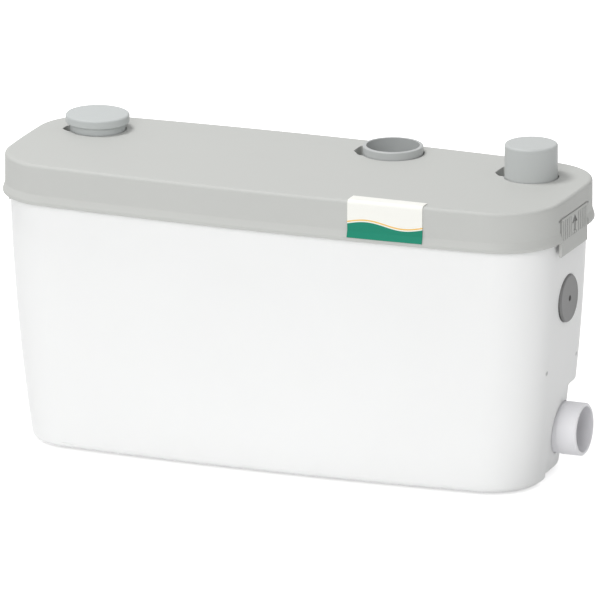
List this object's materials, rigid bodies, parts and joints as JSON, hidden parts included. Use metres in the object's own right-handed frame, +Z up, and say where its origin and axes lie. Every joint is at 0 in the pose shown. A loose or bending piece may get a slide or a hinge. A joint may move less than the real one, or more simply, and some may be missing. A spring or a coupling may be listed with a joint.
{
  "type": "sewage lifting station",
  "caption": "Compact box lifting station: white tank, grey clip-on cover with inlet, vent and blanked fittings, side plug, discharge spigot, pump and level switch inside.",
  "frame": {"origin": "middle of the footprint, on the floor", "axes": "+X to the discharge end, along the length; +Y to the wall behind; +Z up"},
  "size_m": [0.4456, 0.1666, 0.2504],
  "materials": {
    "tank_white": "glossy moulded",
    "cover_grey": "fine satin moulded",
    "fitting_grey": "satin moulded",
    "spigot_white": "satin moulded",
    "plug_rubber": "soft semi gloss",
    "black_rubber": "matt",
    "badge_face": "gloss laminate",
    "pump_plastic": "glass filled moulded",
    "impeller_plastic": "moulded",
    "stainless": "brushed",
    "screw_steel": "plated",
    "motor_case": "die cast",
    "lamination": "stamped sheet stack",
    "copper": "enamelled wire",
    "valve_plastic": "moulded",
    "flap_rubber": "moulded",
    "carbon": "activated carbon foam",
    "box_plastic": "moulded",
    "hose_silicone": "translucent silicone",
    "cable_rubber": "cable sheath",
    "capacitor_case": "can",
    "terminal_plastic": "polyamide"
  },
  "bodies": {
    "station": {"tank": "tank_white", "rubber_pads": "black_rubber", "side_inlet_socket": "valve_plastic", "side_flap_pin": "stainless", "pump_volute": "pump_plastic", "pump_backplate": "pump_plastic", "casing_screws": "screw_steel", "pump_bushes": "black_rubber", "pump_screws": "screw_steel", "suction_strainer": "pump_plastic", "shaft_seal": "black_rubber", "motor_housing": "motor_case", "motor_cap": "motor_case", "motor_cap_screws": "screw_steel", "stator_core": "lamination", "stator_windings": "copper", "lower_bearing": "stainless", "upper_bearing": "stainless", "discharge_sleeve": "black_rubber", "sleeve_bands": "stainless", "valve_housing": "valve_plastic", "valve_hatch": "valve_plastic", "hatch_screws": "screw_steel", "valve_pin": "stainless", "discharge_spigot": "spigot_white", "spigot_seal": "black_rubber", "pressure_bell": "fitting_grey", "air_hose": "hose_silicone", "motor_lead": "cable_rubber", "control_box": "box_plastic", "control_box_lid": "box_plastic", "lid_screws": "screw_steel", "pressure_switch": "terminal_plastic", "capacitor": "capacitor_case", "capacitor_strap": "stainless", "terminal_block": "terminal_plastic", "cable_gland": "box_plastic", "gland_nut": "box_plastic"},
    "cover": {"cover": "cover_grey", "cover_gasket": "black_rubber", "badge": "badge_face", "inlet_collar": "fitting_grey", "inlet_seal": "black_rubber", "blanked_socket": "fitting_grey", "vent_seat": "fitting_grey", "filter_basket": "fitting_grey", "carbon_cartridge": "carbon"},
    "right_clip": {"right_clip": "cover_grey"},
    "left_clip": {"left_clip": "cover_grey"},
    "vent_cap": {"vent_cap": "fitting_grey"},
    "blanking_cap": {"blanking_cap": "fitting_grey"},
    "side_plug": {"side_plug": "plug_rubber"},
    "rotor": {"pump_shaft": "stainless", "impeller": "impeller_plastic", "impeller_nut": "screw_steel", "rotor_core": "lamination"},
    "discharge_flap": {"valve_flap": "flap_rubber"},
    "side_flap": {"side_flap": "flap_rubber"},
    "plunger": {"switch_plunger": "terminal_plastic"}
  },
  "joints": [
    {"name": "cover_lift", "type": "slide", "parent": "station", "child": "cover", "axis": [0, 0, 1], "range_m": [0, 0.12]},
    {"name": "right_clip_hinge", "type": "hinge", "parent": "cover", "child": "right_clip", "pos_m": [0.22081, -0.002, 0.2103], "axis": [0, -1, 0], "range_deg": [0, 14], "stiffness_Nm_per_rad": 0.05},
    {"name": "left_clip_hinge", "type": "hinge", "parent": "cover", "child": "left_clip", "pos_m": [-0.22081, -0.002, 0.2103], "axis": [0, 1, 0], "range_deg": [0, 14], "stiffness_Nm_per_rad": 0.05},
    {"name": "vent_cap_lift", "type": "slide", "parent": "cover", "child": "vent_cap", "axis": [0, 0, 1], "range_m": [0, 0.06]},
    {"name": "blanking_cap_pull", "type": "slide", "parent": "cover", "child": "blanking_cap", "axis": [0, 0, 1], "range_m": [0, 0.05]},
    {"name": "side_plug_pull", "type": "slide", "parent": "station", "child": "side_plug", "axis": [1, 0, 0], "range_m": [0, 0.04]},
    {"name": "rotor_spin", "type": "hinge", "parent": "station", "child": "rotor", "pos_m": [0.072, 0, 0.035], "axis": [0, 0, 1], "continuous": true},
    {"name": "discharge_flap_swing", "type": "hinge", "parent": "station", "child": "discharge_flap", "pos_m": [0.1544, 0.023, 0.0535], "axis": [0, -1, 0], "range_deg": [0, 45]},
    {"name": "side_flap_swing", "type": "hinge", "parent": "station", "child": "side_flap", "pos_m": [0.17233, -0.001, 0.1604], "axis": [0, 1, 0], "range_deg": [0, 60]},
    {"name": "switch_plunger_travel", "type": "slide", "parent": "station", "child": "plunger", "axis": [0, 0, 1], "range_m": [0, 0.0015], "stiffness_N_per_m": 200}
  ]
}
